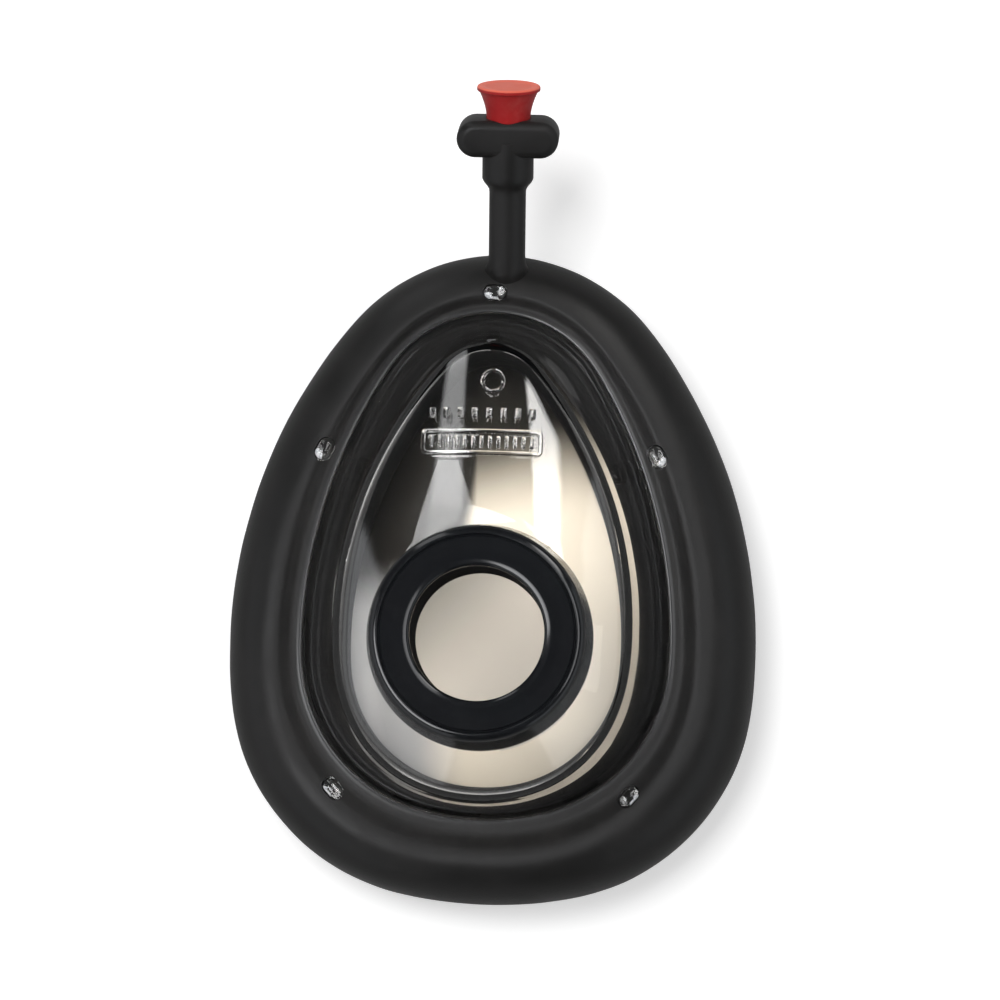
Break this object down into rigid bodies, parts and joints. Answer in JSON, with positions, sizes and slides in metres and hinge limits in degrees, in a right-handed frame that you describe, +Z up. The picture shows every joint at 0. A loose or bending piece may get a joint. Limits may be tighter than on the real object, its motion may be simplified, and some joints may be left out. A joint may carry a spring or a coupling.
{
  "type": "ventilation mask",
  "caption": "Face mask with an air-filled rubber cushion, clear domed shell, round connector socket and a filler tube with a push-in plug.",
  "frame": {"origin": "middle of the whole mask's footprint, at the height of the cushion's resting ring", "axes": "+Z up along the connector's axis, away from the face; +Y towards the nose end and the filler tube; +X to the right of the nose as seen from above"},
  "size_m": [0.0918, 0.141, 0.0501],
  "materials": {
    "clear_plastic": "clear polished plastic",
    "cushion_rubber": "black rubber with a soft sheen",
    "ring_rubber": "satin black rubber",
    "plug_plastic": "red moulded plastic"
  },
  "bodies": {
    "root": {"clear_dome": "clear_plastic", "air_cushion": "cushion_rubber", "connector_ring": "ring_rubber", "filler_plug": "plug_plastic"}
  },
  "joints": []
}
